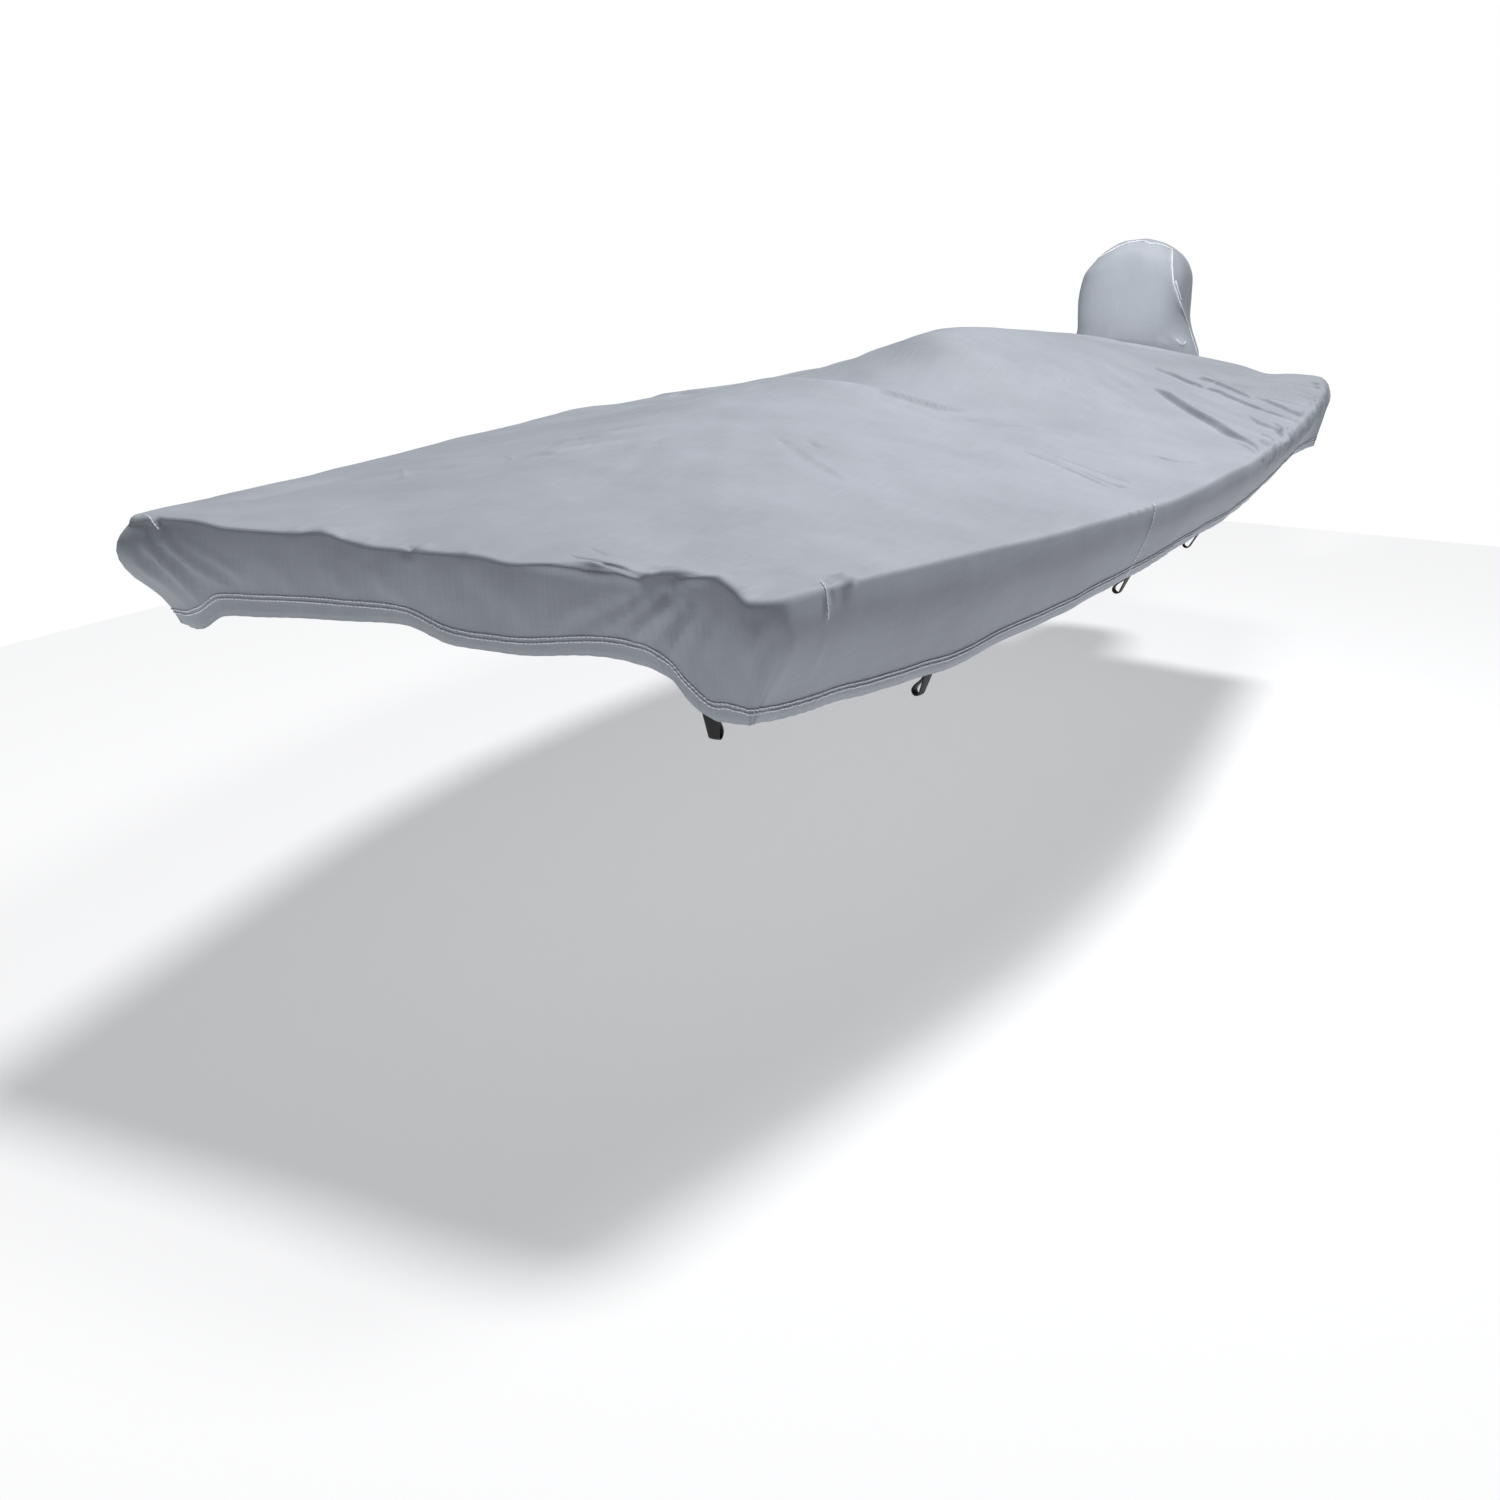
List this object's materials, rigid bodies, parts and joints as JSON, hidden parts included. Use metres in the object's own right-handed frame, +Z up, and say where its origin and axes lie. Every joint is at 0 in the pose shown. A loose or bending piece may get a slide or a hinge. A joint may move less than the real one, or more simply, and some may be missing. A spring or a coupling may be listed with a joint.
{
  "type": "boat cover",
  "caption": "Fitted cloth cover for a small flat-bowed open boat, tented over inner supports, with hanging skirts, a hood for an outboard motor and webbing tie loops inside the hem.",
  "frame": {"origin": "underside of the cloth on the boat's middle line, where the aft support holds the deck up", "axes": "+X to port, +Y aft towards the motor, +Z up"},
  "size_m": [1.9478, 4.9621, 0.7632],
  "materials": {
    "cover_cloth": "matt coated woven polyester, light grey",
    "hood_cloth": "matt coated woven polyester, light grey",
    "webbing": "black polypropylene webbing",
    "thread": "white polyester sewing thread"
  },
  "bodies": {
    "root": {"cover_body": "cover_cloth", "motor_hood": "hood_cloth", "loop_port_bow_corner": "webbing", "loop_port_fore": "webbing", "loop_port_midship": "webbing", "loop_port_aft": "webbing", "loop_starboard_fore": "webbing", "loop_starboard_midship": "webbing", "loop_starboard_aft": "webbing"}
  },
  "joints": []
}
